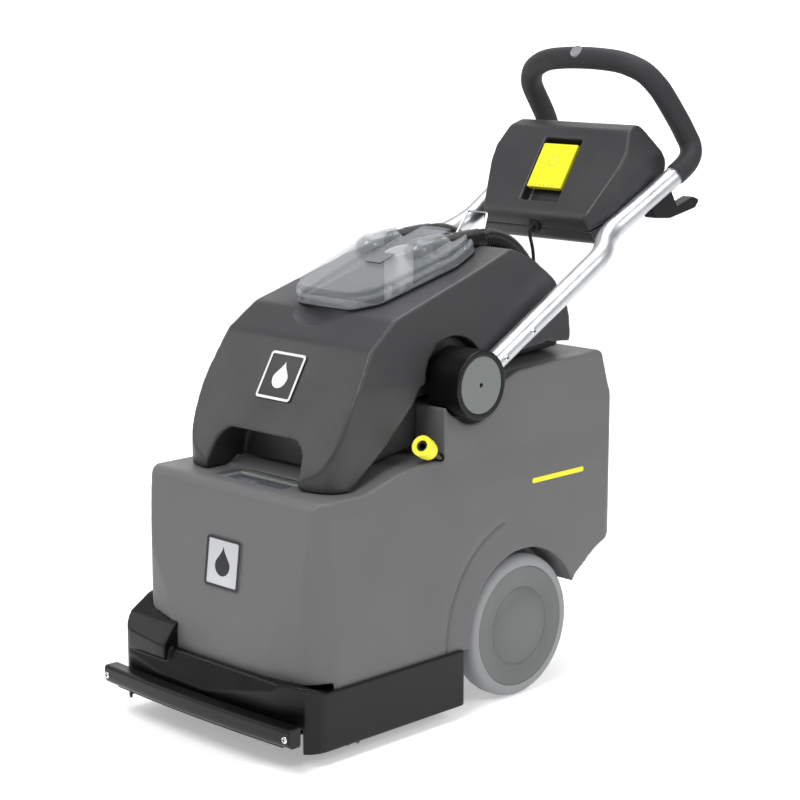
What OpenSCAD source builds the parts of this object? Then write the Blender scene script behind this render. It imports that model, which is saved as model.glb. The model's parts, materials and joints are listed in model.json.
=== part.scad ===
// Walk-behind carpet extractor: a grey base housing on two wheels, a dark recovery tank with a
// clear lid and two suction hoses on top of it, a brush and a vacuum shoe under the nose, and a
// folding push handle with a switch console.
// Millimetres. -Y is the nose, +Z is up, x = 0 is the middle and the floor is z = 0.

/* [Base] */
// Width of the black skirt
skirt_w = 430; // [428:1:432]
// Gap between the skirt and the floor
skirt_gap = 22; // [20:1:26]
// Wall of the moulded housings
wall = 4; // [3:0.5:5]

/* [Wheels] */
// Outer diameter of a tyre
wheel_d = 243; // [240:1:246]
// Width of a tyre
wheel_w = 44; // [40:1:46]
// Fore-and-aft place of the axle
wheel_y = 25; // [20:1:30]
// Diameter of the axle
axle_d = 20; // [16:1:22]

/* [Brush] */
// Diameter over the bristles
brush_d = 104; // [100:1:106]
// Fore-and-aft place of the brush axis
brush_y = -340; // [-344:1:-336]
// Radius of the pulley on the brush
brush_pulley_r = 22; // [20:1:24]
// Radius of the pulley on the motor
motor_pulley_r = 14; // [13:1:16]

/* [Tank and lid] */
// Width of the recovery tank
tank_w = 352; // [348:1:353]
// Slope of the tank's top, in degrees
lid_slope = 17; // [16.5:0.5:17.5]
// Outer diameter of a suction hose
hose_d = 35; // [33:1:36]
// Outer diameter of a hose cuff
cuff_d = 42; // [40:1:43]

/* [Handle] */
// Height of the axis that the handle folds about
hub_z = 552; // [550:1:554]
// Diameter of a handle hub
hub_d = 112; // [108:1:114]
// Slope of the handle tubes, in degrees
handle_angle = 29; // [28.5:0.5:29.5]
// Diameter of a handle tube
tube_d = 35; // [33:1:36]
// Thickness of the hand grip
grip_d = 40; // [38:1:41]

/* [Hidden] */

$fn = 64;
big = 1400;                     // longer than any housing
fit = 0.05;                     // radial clearance of a running fit
gap = 0.3;                      // space between pieces that only lie side by side
grey = [0.45, 0.45, 0.46];
charcoal = [0.2, 0.2, 0.205];
black = [0.08, 0.08, 0.085];
yellow = [0.95, 0.93, 0.2];
silver = [0.8, 0.81, 0.82];

deck_z = 408;                   // front deck of the housing
plate_z = 112;                  // top of the chassis plate, where the housing stands
plate_t = 8;
sk = skirt_w / 2;
wheel_r = wheel_d / 2;
wheel_out = 202;                // outer face of a wheel
wheel_in = wheel_out - wheel_w;
axle_r = axle_d / 2;
brush_z = brush_d / 2;
stub_r = 8;                     // stubs at the ends of the brush core
motor_y = -270;                 // brush motor axis
motor_z = 170;
belt_x = [-201, -189];
fill_w = 160;                   // fill opening in the front deck
fill_y = [-400, -338];
inlet = [120, 279, 430];        // mains cable inlet, on the rear wall
inlet_r = 5;
hub_y = -105;
hub_r = hub_d / 2;
hub_out = 230;
hub_in = 160;
pivot_r = 14;                   // stub that a hub turns on
tube_r = tube_d / 2;
tube_in_r = tube_r - 2;
tube_x = 195;                   // handle tubes at the hubs
tube_top_x = 165;               // handle tubes beside the console
tube_drop = -10;                // tube line below the hub axis, square to the slope
joggle_s = 355;                 // where the tubes start to bend inward
joggle_len = 100;
tube_end_s = 625;
screw_s = [84, 158];
lid_y = -202;                   // datum of the tank's sloping top
lid_z = 672;
hose_x = 57;
socket_y = 222;                 // hose sockets in the rear deck
socket_top = 588;
cuff_y = [-20, 72];             // ends of a hose cuff
cuff_z = [748, 754];
coupling_at = [200, -194, 455]; // base of the solution coupling's collar
post_x = 150;                   // guide posts of the vacuum shoe
post_r = 7;
post_y = -443;
neck_y = -433;                  // suction neck of the shoe
shoe_bow_r = 3600;              // the shoe is a flat arc in plan
shoe_front = -526;
shoe_back = -499;
shoe_top = 82;
shoe_w = 450;

// ---------- outlines ----------
function unit(v) = v / norm(v);
function xy(p) = [p.x, p.y];
// Arc of radius r that rounds corner p between its neighbours a and b.
function corner(a, p, b, r, n) =
    let (u = unit(a - p), v = unit(b - p), half = acos(u * v) / 2,
         c = p + unit(u + v) * r / sin(half), s = p + u * r / tan(half) - c,
         e = p + v * r / tan(half) - c, a0 = atan2(s.y, s.x),
         turn = (atan2(e.y, e.x) - a0 + 540) % 360 - 180)
    [for (i = [0:n]) c + r * [cos(a0 + turn * i / n), sin(a0 + turn * i / n)]];
// Corner points [x, y, radius] to an outline with round corners.
function outline(pts, n = 4) = let (m = len(pts))
    [for (i = [0:m - 1])
        let (a = xy(pts[(i + m - 1) % m]), p = xy(pts[i]), b = xy(pts[(i + 1) % m]))
        each (pts[i].z > 0 ? corner(a, p, b, pts[i].z, n) : [p])];
// The same corner points moved inward by t. They run counter-clockwise.
function inset(pts, t) = let (m = len(pts))
    [for (i = [0:m - 1])
        let (a = xy(pts[(i + m - 1) % m]), p = xy(pts[i]), b = xy(pts[(i + 1) % m]),
             u = unit(p - a), v = unit(b - p), nu = [-u.y, u.x], nv = [-v.y, v.x],
             k = t / (1 + nu * nv), bend = sign(u.x * v.y - u.y * v.x))
        [p.x + (nu.x + nv.x) * k, p.y + (nu.y + nv.y) * k,
         pts[i].z > 0 ? max(pts[i].z - bend * t, 1) : 0]];
// The mirror image of a half outline, joined to it.
function both_halves(half) = concat(half,
    [for (i = [len(half) - 1:-1:0]) if (half[i].x != 0) [-half[i].x, half[i].y, half[i].z]]);

// A side outline (y, z) pushed across, a plan (x, y) pushed up and a front (x, z) pushed along.
module across(pts, w = big) {
    rotate([90, 0, 90]) linear_extrude(w, center = true) polygon(outline(pts));
}
module upward(pts) { translate([0, 0, -10]) linear_extrude(big) polygon(outline(pts)); }
module along(pts) { rotate([90, 0, 0]) linear_extrude(big, center = true) polygon(outline(pts)); }
// Cylinder from x0 to x1 about the axis at (y, z).
module barrel(r, x0, x1, y, z) {
    translate([min(x0, x1), y, z]) rotate([0, 90, 0]) cylinder(r = r, h = abs(x1 - x0));
}
module on_both_sides() {
    children();
    mirror([1, 0, 0]) children();
}
module block(x, y, z) { translate([x[0], y[0], z[0]]) cube([x[1] - x[0], y[1] - y[0], z[1] - z[0]]); }

// ---------- swept tubes ----------
function spline_at(p0, p1, p2, p3, t) = 0.5 * (2 * p1 + (p2 - p0) * t
    + (2 * p0 - 5 * p1 + 4 * p2 - p3) * t * t + (3 * p1 - p0 - 3 * p2 + p3) * t * t * t);
function spline(pts, n) = let (m = len(pts)) concat(
    [for (i = [0:m - 2], k = [0:n - 1])
        spline_at(pts[max(i - 1, 0)], pts[i], pts[i + 1], pts[min(i + 2, m - 1)], k / n)],
    [pts[m - 1]]);
// Round tube of radius r along a path; ref is a direction that the path never takes.
module sweep(path, r, sides, ref = [1, 0, 0]) {
    m = len(path);
    rings = [for (i = [0:m - 1])
        let (d = unit(path[min(i + 1, m - 1)] - path[max(i - 1, 0)]),
             u = unit(cross(ref, d)), v = cross(d, u))
        for (k = [0:sides - 1])
            path[i] + r * (u * cos(360 * k / sides) + v * sin(360 * k / sides))];
    polyhedron(points = rings, faces = concat(
        [[for (k = [0:sides - 1]) k]],
        [for (i = [0:m - 2], k = [0:sides - 1])
            [i * sides + k, (i + 1) * sides + k, (i + 1) * sides + (k + 1) % sides,
             i * sides + (k + 1) % sides]],
        [[for (k = [sides - 1:-1:0]) (m - 1) * sides + k]]), convexity = 6);
}

// ---------- grey housing ----------
body_side = [[-467, plate_z, 4], [112, plate_z, 12], [160, 186, 20], [216, 222, 25], [303, 258, 28],
    [299, 325, 60], [276, 444, 60], [250, 505, 30], [232, 566, 12], [20, 556, 20], [-25, 541, 10],
    [-145, 519, 3], [-155, 517, 3], [-157, 434, 3], [-200, 437, 6], [-262, 428, 20],
    [-335, deck_z, 20], [-437, deck_z, 18], [-448, 300, 60], [-458, 220, 60]];
body_plan = both_halves([[0, -468, 0], [110, -463, 100], [188, -449, 30], [209, -400, 30],
    [209, 250, 50], [150, 292, 50], [0, 306, 0]]);
body_front = both_halves([[209, 0, 0], [209, 130, 0], [204, 380, 0], [200, 430, 0], [196, 640, 0]]);

module body_solid(t) {
    intersection() {
        across(inset(body_side, t));
        upward(inset(body_plan, t));
        along(inset(body_front, t));
    }
}
module at_inlet() { translate(inlet) rotate([-79, 0, 0]) children(); }
module at_coupling() { translate(coupling_at) rotate([62, 0, 17]) children(); }

module body_shell() color(grey) {
    difference() {
        union() {
            difference() {
                body_solid(0);
                body_solid(wall);
                block([-204, 204], [-455, 104], [100, 125]);
            }
            // wheel houses and the round recesses for the handle hubs
            intersection() {
                body_solid(0);
                on_both_sides() {
                    barrel(wheel_r + 16, 145, big, wheel_y + 4, wheel_r);
                    barrel(63, 148, big, hub_y, hub_z);
                    barrel(70, 148, big, hub_y + 19, hub_z - 3);
                }
            }
        }
        on_both_sides() {
            barrel(wheel_r + 12, 149, big, wheel_y + 4, wheel_r);
            barrel(hub_r + 2.5, 152, big, hub_y, hub_z);
            barrel(66, 152, big, hub_y + 19, hub_z - 3);
        }
        at_coupling() translate([0, 0, -60]) cylinder(r = 7.3, h = 60);
        barrel(axle_r + 1, -big, big, wheel_y, wheel_r);
        // openings for filling, for the hose sockets and for the mains cable
        block([-fill_w / 2, fill_w / 2], fill_y, [deck_z - 30, deck_z + 10]);
        block([-86, 86], [197, 260], [531, 620]);
        at_inlet() translate([0, 0, -30]) cylinder(r = 12, h = 50);
    }
}

module body_badge() color(silver) {
    // 80 mm plate on the nose
    translate([0, -450.4, 284]) rotate([83.1, 0, 0]) translate([-40, -40, 0]) cube([80, 80, 1.8]);
}

// ---------- skirt and chassis ----------
ledge_z = plate_z + gap;        // underside of the ledge that meets the housing
skirt_side = [[-500, skirt_gap, 4], [-125, skirt_gap, 4], [-125, 117, 2], [-430, 117, 10],
    [-455, 128, 8], [-479, 131, 4], [-494, 86, 6]];
skirt_inside = [[-496, 0, 0], [-200, 0, 0], [-200, ledge_z, 0], [-480, ledge_z, 0], [-488.8, 86, 0]];
skirt_plan = [[0, -494, 0], [150, -484, 80], [sk, -460, 40], [sk, 0, 0], [-sk, 0, 0], [-sk, -487, 22],
    [-120, -493, 60]];
// Cheek that covers the belt on the left side.
cheek_side = [[-500, ledge_z, 0], [-500, 130, 0], [-491, 138, 10], [-470, 166, 24], [-428, 192, 30],
    [-320, 196, 40], [-240, 150, 30], [-215, ledge_z, 0]];
plate_plan = both_halves([[0, -470, 0], [150, -462, 40], [sk - 5.6, -446, 34], [sk - 5.6, -126, 0],
    [144, -126, 0], [144, 100, 10]]);

module base_skirt() color(black) {
    difference() {
        intersection() {
            union() {
                across(skirt_side);
                intersection() {
                    across(cheek_side);
                    block([-big, -100], [-500, -200], [ledge_z, 300]);
                }
            }
            upward(skirt_plan);
        }
        intersection() {
            across(skirt_inside);
            upward(inset(skirt_plan, 5));
        }
        block([-sk + 5, sk - 5], [-300, 0], [0, ledge_z]);
        body_solid(-gap);
        // the vacuum shoe's web passes under the front wall
        block([-196, 196], [-520, -440], [0, 62]);
    }
}

module post_holes(r) {
    on_both_sides() translate([post_x, post_y, 0]) cylinder(r = r, h = 300);
    translate([0, neck_y, 0]) cylinder(r = r * 2, h = 300);
}

module chassis_plate() color([0.3, 0.3, 0.32]) {
    difference() {
        union() {
            translate([0, 0, plate_z - plate_t]) linear_extrude(plate_t) polygon(outline(plate_plan));
            // axle carriers, motor cradle and seats of the brush bearings
            on_both_sides() block([118, 132], [wheel_y - 26, wheel_y + 26], [plate_z - 2, 152]);
            block([-140, -128], [motor_y - 30, motor_y + 30], [plate_z - 2, 150]);
            block([-52, -40], [motor_y - 30, motor_y + 30], [plate_z - 2, 150]);
        }
        post_holes(post_r + fit);
        barrel(axle_r, -150, 150, wheel_y, wheel_r);
        barrel(38 + fit, -170, 0, motor_y, motor_z);
        // way of the belt and of the spray line
        block([-207, -184], [brush_y - 30, motor_y + 22], [90, 130]);
        translate([60, -405, 90]) cylinder(r = 7, h = 40);
    }
}

module axle() color(silver) barrel(axle_r, -wheel_out + 6, wheel_out - 6, wheel_y, wheel_r);
module axle_clips() color(silver) {
    on_both_sides() difference() {
        barrel(axle_r + 6, wheel_in - 5, wheel_in - 2, wheel_y, wheel_r);
        barrel(axle_r, wheel_in - 6, wheel_in, wheel_y, wheel_r);
    }
}

// ---------- inside the housing ----------
solution_side = [[-431, 240, 20], [-240, 240, 20], [-240, 396, 15], [-424, 396, 20]];
module neck(t) { block([-fill_w / 2 + 6 + t, fill_w / 2 - 6 - t], [-393 + t, -346 - t], [380, 403]); }
module solution_tank() color([0.8, 0.8, 0.78]) {
    difference() {
        union() {
            across(solution_side, 380);
            neck(0);
        }
        across(inset(solution_side, 3), 374);
        neck(3);
        block([-70, 70], [-390, -349], [390, 410]);
    }
}
module fill_strainer() color(black) {
    difference() {
        block([-70.5, 70.5], [-389.5, -349.5], [360, 400]);
        block([-68.5, 68.5], [-387.5, -351.5], [362, 401]);
        for (x = [-50:20:50], y = [-378:9:-360])
            translate([x, y, 350]) cylinder(r = 3, h = 20);
    }
}
module vacuum_motor() color([0.3, 0.3, 0.3]) {
    translate([55, 130, 330]) {
        cylinder(r = 62, h = 60);
        translate([0, 0, 60]) cylinder(r = 68, h = 52);
        translate([0, 0, 112]) cylinder(r = 20, h = 12);
    }
    // bracket on the chassis plate
    block([-20, 130], [80, 145], [322, 330]);
    block([-20, -12], [80, 98], [plate_z, 324]);
    block([122, 130], [80, 98], [plate_z, 324]);
}
duct_r = 17;
duct_top = 532;                 // underside of the hose sockets
duct_y = 217;
inlet_duct = [[0, neck_y, 168], [0, neck_y + 2, 186], [6, -420, 202], [20, -400, 206], [34, -350, 206],
    [40, -280, 206], [20, -200, 225], [-25, -120, 270], [-54, -30, 330], [-hose_x, 60, 395],
    [-hose_x, 150, 440], [-hose_x, duct_y - 14, 482], [-hose_x, duct_y, 504], [-hose_x, duct_y, 516],
    [-hose_x, duct_y, duct_top - gap]];
outlet_duct = [[hose_x, duct_y, duct_top - gap], [hose_x, duct_y, 518], [hose_x, duct_y, 506], [56, 199, 484],
    [55, 160, 474], [55, 134, 466], [55, 130, 454]];
module vacuum_ducts() color(black) {
    // one duct climbs from the shoe to the left socket, one drops from the right socket
    difference() {
        union() {
            sweep(spline(inlet_duct, 2), duct_r, 12);
            translate([0, neck_y, plate_z]) cylinder(r = duct_r, h = 57);
        }
        translate([0, neck_y, plate_z - 1]) cylinder(r = 14 + gap, h = 73);
    }
    sweep(spline(outlet_duct, 3), duct_r, 12);
}
module hose_sockets() color(black) {
    difference() {
        block([-85, 85], [198, 246], [duct_top, socket_top]);
        for (x = [-hose_x, hose_x]) translate([x, socket_y, 0]) {
            translate([0, 0, 545]) cylinder(r = hose_d / 2 + gap, h = 60);
            translate([0, 0, 520]) cylinder(r = 14, h = 60);
        }
        translate([0, 236, 580]) cylinder(r = 3 + gap, h = 20);
    }
}
module solution_pump() color([0.25, 0.25, 0.28]) {
    block([-112, -60], [-60, 10], [plate_z, 160]);
    translate([-86, -25, 160]) cylinder(r = 24, h = 60);
    translate([-60, -25, 136]) rotate([0, 90, 0]) cylinder(r = 6, h = 14);
}
module solution_line() color([0.7, 0.7, 0.7]) {
    sweep(spline([[-46, -25, 136], [-20, -30, 140], [20, -80, 150], [30, -200, 150], [50, -360, 150],
        [60, -400, 140], [60, -405, 118], [60, -405, 100]], 3), 4.5, 8, [0.2, 0, 1]);
}
module spray_bar() color(silver) {
    difference() {
        union() {
            barrel(7, -160, 160, -405, 93);
            on_both_sides() block([130, 140], [-412, -398], [93, plate_z - plate_t]);
            translate([60, -405, 93]) cylinder(r = 6, h = 7);
        }
        barrel(4, -156, 156, -405, 93);
    }
}
module spray_nozzles() color(yellow) {
    for (x = [-120, -40, 40, 120])
        translate([x, -405, 76]) difference() {
            cylinder(r = 5, h = 10);
            translate([0, 0, -1]) cylinder(r = 1, h = 20);
        }
}
module brush_motor() color([0.35, 0.35, 0.36]) {
    barrel(38, -158, -22, motor_y, motor_z);
    barrel(30, -22, -8, motor_y, motor_z);
    barrel(14, -166, -158, motor_y, motor_z);
}
module brush_bearings() color(black) {
    difference() {
        union() {
            block([-182, -168], [brush_y - 18, brush_y + 18], [34, plate_z - plate_t]);
            block([186, 200], [brush_y - 18, brush_y + 18], [34, plate_z - plate_t]);
        }
        barrel(stub_r + fit, -300, 300, brush_y, brush_z);
    }
}
module drive_belt() color([0.12, 0.12, 0.12]) {
    translate([belt_x[0], 0, 0]) rotate([90, 0, 90]) linear_extrude(belt_x[1] - belt_x[0]) {
        brush_axis = [brush_y, brush_z];
        motor_axis = [motor_y, motor_z];
        difference() {
            belt_outline(brush_axis, brush_pulley_r + 3.2, motor_axis, motor_pulley_r + 3.2);
            belt_outline(brush_axis, brush_pulley_r + 0.2, motor_axis, motor_pulley_r + 0.2);
        }
    }
}
// Outline round two circles, like a belt.
module belt_outline(c1, r1, c2, r2) {
    d = c2 - c1;
    t = acos((r1 - r2) / norm(d));
    a = atan2(d.y, d.x);
    up = [cos(a + t), sin(a + t)];
    down = [cos(a - t), sin(a - t)];
    translate(c1) circle(r1);
    translate(c2) circle(r2);
    polygon([c1 + r1 * up, c1 + r1 * down, c2 + r2 * down, c2 + r2 * up]);
}
module mains_inlet() color(black) {
    at_inlet() difference() {
        union() {
            translate([0, 0, -12]) cylinder(r = 12 - fit, h = 14);
            translate([0, 0, 0.8]) cylinder(r = 16, h = 5);
            translate([0, 0, 5]) cylinder(r = 9, h = 14);
        }
        translate([0, 0, -13]) cylinder(r = inlet_r, h = 40);
    }
}

// ---------- pivots and couplings on the housing ----------
module pivot_boss(side) color([0.25, 0.25, 0.26]) {
    mirror([side < 0 ? 1 : 0, 0, 0]) {
        // flange on the recess wall and the stub that the hub turns on
        intersection() {
            barrel(hub_r + 2, 152, 158, hub_y, hub_z);
            block([150, 160], [hub_y - 34, hub_y + 34], [hub_z - 66, hub_z + 34]);
        }
        barrel(pivot_r, 157, 222, hub_y, hub_z);
    }
}
module coupling_body() color([0.15, 0.15, 0.16]) {
    at_coupling() difference() {
        union() {
            translate([0, 0, -54]) cylinder(r = 7, h = 54);
            translate([0, 0, -8]) cylinder(r = 12, h = 5);
            translate([0, 0, -4]) cylinder(r = 9, h = 30);
        }
        translate([0, 0, -60]) cylinder(r = 5.5, h = 100);
    }
}
module coupling_collar() color(yellow) {
    at_coupling() difference() {
        union() {
            cylinder(r = 15, h = 14);
            translate([0, 0, 12]) cylinder(r = 17, h = 16);
        }
        translate([0, 0, -1]) cylinder(r = 9 + fit, h = 40);
    }
}

// ---------- wheels ----------
module tyre(side) color([0.6, 0.6, 0.6]) {
    mirror([side < 0 ? 1 : 0, 0, 0]) translate([0, wheel_y, wheel_r]) rotate([0, 90, 0])
        rotate_extrude($fn = 96) polygon(outline([[101, wheel_in, 0], [wheel_r - 2, wheel_in, 8],
            [wheel_r, (wheel_in + wheel_out) / 2, 60], [wheel_r - 2, wheel_out, 14],
            [102, wheel_out, 2], [102, wheel_out - 8, 0], [101, wheel_out - 8, 0]]));
}
module rim(side) color([0.35, 0.36, 0.36]) {
    mirror([side < 0 ? 1 : 0, 0, 0]) difference() {
        union() {
            difference() {
                barrel(101, wheel_in, wheel_out - 9, wheel_y, wheel_r);
                barrel(95, wheel_in - 1, wheel_out - 15, wheel_y, wheel_r);
            }
            barrel(18, wheel_in, wheel_out - 10, wheel_y, wheel_r);
            for (a = [0:60:300]) translate([wheel_in + 4, wheel_y, wheel_r]) rotate([a, 0, 0])
                translate([0, -2.5, 0]) cube([26, 5, 97]);
        }
        barrel(axle_r + fit, 0, 300, wheel_y, wheel_r);
    }
}
module wheel_cover(side) color([0.46, 0.48, 0.47]) {
    mirror([side < 0 ? 1 : 0, 0, 0]) difference() {
        barrel(101.8, wheel_out - 8, wheel_out - 2, wheel_y, wheel_r);
        barrel(16, wheel_out - 9, wheel_out - 5, wheel_y, wheel_r);
        // groove ring
        difference() {
            barrel(66, wheel_out - 3, wheel_out, wheel_y, wheel_r);
            barrel(64.5, wheel_out - 4, wheel_out + 1, wheel_y, wheel_r);
        }
    }
}

// ---------- brush ----------
module brush_core() color([0.2, 0.2, 0.2]) {
    barrel(28, -165, 183, brush_y, brush_z);
    barrel(stub_r, -204, 202, brush_y, brush_z);
    barrel(brush_pulley_r, -203, -187, brush_y, brush_z);
}
module brush_bristles() color([0.1, 0.1, 0.1]) {
    difference() {
        barrel(brush_d / 2, -163, 181, brush_y, brush_z);
        barrel(28, -200, 200, brush_y, brush_z);
    }
}
module motor_pulley() color(silver) {
    difference() {
        union() {
            barrel(motor_pulley_r, -203, -187, motor_y, motor_z);
            barrel(5, -187, -166 - gap, motor_y, motor_z);
        }
        barrel(3, -204, -200, motor_y, motor_z);
    }
}

// ---------- vacuum shoe ----------
bow = asin(shoe_w / 2 / shoe_bow_r);   // half the arc
module shoe_arc(pts, a = bow) {
    translate([0, shoe_front + shoe_bow_r, 0]) rotate([0, 0, -90 - a])
        rotate_extrude(angle = 2 * a, $fn = 360) polygon(outline(pts));
}
end_a = 0.36;                   // the slot stops short of the ends
screw_a = asin(216 / shoe_bow_r);
function shoe_r(y) = shoe_bow_r + shoe_front - y;
module at_shoe_screws() {
    for (a = [-screw_a, screw_a]) translate([0, shoe_front + shoe_bow_r, 66]) rotate([0, 0, a])
        translate([0, -shoe_bow_r, 0]) rotate([90, 0, 0]) children();
}
module vacuum_shoe() color(black) {
    difference() {
        union() {
            shoe_arc([[shoe_r(shoe_back), 50, 4], [shoe_r(shoe_front), 50, 12],
                [shoe_r(shoe_front), shoe_top, 5], [shoe_r(shoe_back), shoe_top, 3]]);
            // web under the skirt, with the guide posts and the suction neck
            intersection() {
                block([-190, 190], [-505, -418], [52, 60]);
                translate([0, shoe_front + shoe_bow_r, 0])
                    cylinder(r = shoe_r(shoe_back - 2), h = 100, $fn = 360);
            }
            on_both_sides() translate([post_x, post_y, 55]) cylinder(r = post_r, h = 105);
            translate([0, neck_y, 55]) cylinder(r = 14 - fit, h = 80);
        }
        // suction slot, its channel through the web and the bore of the neck
        shoe_arc([[shoe_r(-506), 40, 0], [shoe_r(-515), 40, 0], [shoe_r(-515), 72, 3],
            [shoe_r(-506), 72, 3]], bow - end_a);
        block([-50, 50], [-510, neck_y], [54, 58]);
        translate([0, neck_y, 54]) cylinder(r = 11, h = 100);
        at_shoe_screws() translate([0, 0, -18]) cylinder(r = 3.1, h = 40);
    }
}
module shoe_lip() color([0.05, 0.05, 0.05]) {
    for (y = [-515, -508])
        shoe_arc([[shoe_r(y + 2), 47, 0], [shoe_r(y), 47, 0], [shoe_r(y), 68, 0], [shoe_r(y + 2), 68, 0]],
            bow - end_a - 0.02);
}
module shoe_screws() color(silver) {
    at_shoe_screws() {
        translate([0, 0, -16]) cylinder(r = 3, h = 17);
        translate([0, 0, 0.2]) cylinder(r = 5, h = 2);
    }
}

// ---------- fill lid ----------
module fill_lid() color([0.8, 0.85, 0.85, 0.5]) {
    block([-fill_w / 2 + 1, fill_w / 2 - 1], [fill_y[0] + 1, fill_y[1] - 5], [deck_z - 4, deck_z - 1]);
    on_both_sides() barrel(3, 55, fill_w / 2 - 1, fill_y[1] - 5, deck_z - 3);
    block([-20, 20], [fill_y[0] + 2, fill_y[0] + 6], [deck_z - 2, deck_z + 2]);
}

// ---------- recovery tank ----------
tw = tank_w / 2;
tank_side = [[-398, deck_z + 1, 8], [-340, deck_z + 1, 8], [-262, 470, 20], [-206, 524, 20],
    [-186, 554, 10], [-20, 574, 10], [120, 588, 8], [182, 584, 8], [180, 640, 20], [150, 692, 30],
    [98, 731, 20], [55, 750, 30], [-235, 662, 40], [-290, 622, 40], [-339, 538, 0]];
keel_side = [[-328, 415, 4], [-262, 434, 10], [-202, 444, 6], [-164, 450, 4], [-161, 526, 4],
    [-24, 548, 4], [20, 563, 6], [182, 571, 6], [176, 610, 0], [-160, 600, 0], [-250, 500, 0]];
tank_front = both_halves([[tw, 380, 0], [tw, 560, 60], [150, 770, 60], [0, 782, 0]]);
tank_plan = both_halves([[0, -400, 0], [100, -394, 60], [tw, -378, 40], [tw, 200, 40]]);

module tank_solid(t) {
    intersection() {
        union() {
            across(inset(tank_side, t));
            across(inset(keel_side, t), 280 - 2 * t);
        }
        upward(inset(tank_plan, t));
        along(inset(tank_front, t));
    }
}
module hub_notch(r, x) {
    on_both_sides() {
        barrel(r, x, big, hub_y, hub_z);
        block([x, big], [hub_y - r, hub_y + r], [400, hub_z]);
    }
}
module front_arch(t) {
    // finger arch over the fill opening
    translate([0, -310 + t, 0]) rotate([90, 0, 0]) linear_extrude(140)
        polygon(outline([[-112 - t, 380, 0], [112 + t, 380, 0], [100 + t, 480 + t, 40], [-100 - t, 480 + t, 40]]));
}
module cuff_troughs(r) {
    for (x = [-hose_x, hose_x]) hose_cuff(x, r, 20);
}
module recovery_tank() color(charcoal) {
    difference() {
        union() {
            difference() {
                tank_solid(0);
                tank_solid(wall);
            }
            intersection() {
                tank_solid(0);
                union() {
                    hub_notch(75, 142);
                    front_arch(wall);
                    cuff_troughs(cuff_d / 2 + 1 + wall);
                }
            }
        }
        hub_notch(71, 146);
        front_arch(0);
        cuff_troughs(cuff_d / 2 + 1);
        // mouth under the lid
        block([-80, 80], [-190, -12], [600, 900]);
    }
    // lugs of the bail
    on_both_sides() difference() {
        block([37.2, 43.2], [93, 107], [715, 741]);
        barrel(2 + fit, 30, 50, 100, 735);
    }
}
module tank_badge() color([0.05, 0.05, 0.05]) {
    translate([0, -323.3, 565]) rotate([59.8, 0, 0]) translate([-40, -40, 0.1]) cube([80, 80, 1.8]);
}
// Right half of the wire bail: foot, leg and half of the top bar.
bail_half = [[43.2, 100, 735], [36.5, 100, 735], [34.5, 101, 736.5], [33.5, 103.5, 741], [23.5, 128, 787],
    [22.3, 130.4, 791.4], [19.5, 131, 793], [0, 131, 793]];
bail_path = concat(bail_half, [for (i = [len(bail_half) - 2:-1:0])
    [-bail_half[i].x, bail_half[i].y, bail_half[i].z]]);
module tank_bail() color(silver) sweep(bail_path, 2, 8, [0, -0.88, 0.47]);

// ---------- lid and hoses ----------
// Plan of the lid in its own sloping plane, from the datum.
lid_plan = both_halves([[0, -31, 0], [62, -29, 30], [97, 6, 30], [116, 170, 60], [100, 236, 40],
    [60, 258, 30], [0, 262, 0]]);
module on_slope(z = 0) { translate([0, lid_y, lid_z]) rotate([lid_slope, 0, 0]) translate([0, 0, z]) children(); }
module lid_layer(t, h) { linear_extrude(h) polygon(outline(inset([for (p = lid_plan) p], t))); }
module dome(r) {
    // half capsule that holds a cuff
    on_both_sides() intersection() {
        translate([hose_x, 205, 14]) rotate([-13, 0, 0]) {
            rotate([90, 0, 0]) cylinder(r = r, h = 62);
            translate([0, -62, 0]) sphere(r = r);
        }
        translate([0, 0, 5]) lid_layer(1, 80);
    }
}
module lid_form(t) {
    lid_layer(t, 16 - t);
    lid_layer(8 + t, 27 - t);
    dome(24 - t);
}
// Gaps in the rear rim of the lid, where the cuffs come out.
module cuff_notches(y) {
    on_slope() for (x = [-hose_x, hose_x]) translate([x - 24, y, -10]) cube([48, 80, 90]);
}
module dome_lid() color([0.85, 0.88, 0.9, 0.4]) {
    difference() {
        on_slope(4) difference() {
            lid_form(0);
            translate([0, 0, -1]) lid_form(3);
        }
        for (x = [-hose_x, hose_x]) hose_cuff(x, cuff_d / 2 + fit, 60);
        cuff_notches(205);
    }
}
module lid_gasket() color([0.15, 0.15, 0.15]) {
    difference() {
        on_slope(0.4) difference() {
            lid_layer(1, 3.6);
            translate([0, 0, -1]) lid_layer(9, 6);
        }
        cuff_notches(203);
    }
}
cuff_pitch = atan2(cuff_z[1] - cuff_z[0], cuff_y[1] - cuff_y[0]);
module hose_cuff(x, r, extra = 0) {
    translate([x, cuff_y[0], cuff_z[0]]) rotate([-90 + cuff_pitch, 0, 0])
        cylinder(r = r, h = cuff_y[1] - cuff_y[0] + extra);
}
module hose_cuffs() color([0.1, 0.1, 0.1]) {
    for (x = [-hose_x, hose_x]) difference() {
        union() {
            hose_cuff(x, cuff_d / 2 - 1);
            translate([x, cuff_y[0] + 34, cuff_z[0] + 34 * tan(cuff_pitch)]) rotate([-90 + cuff_pitch, 0, 0])
                cylinder(r = cuff_d / 2, h = 40);
        }
        translate([x, cuff_y[0], cuff_z[0]]) rotate([-90 + cuff_pitch, 0, 0])
            translate([0, 0, -1]) cylinder(r = hose_d / 2 - 3, h = 200);
    }
}
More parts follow.
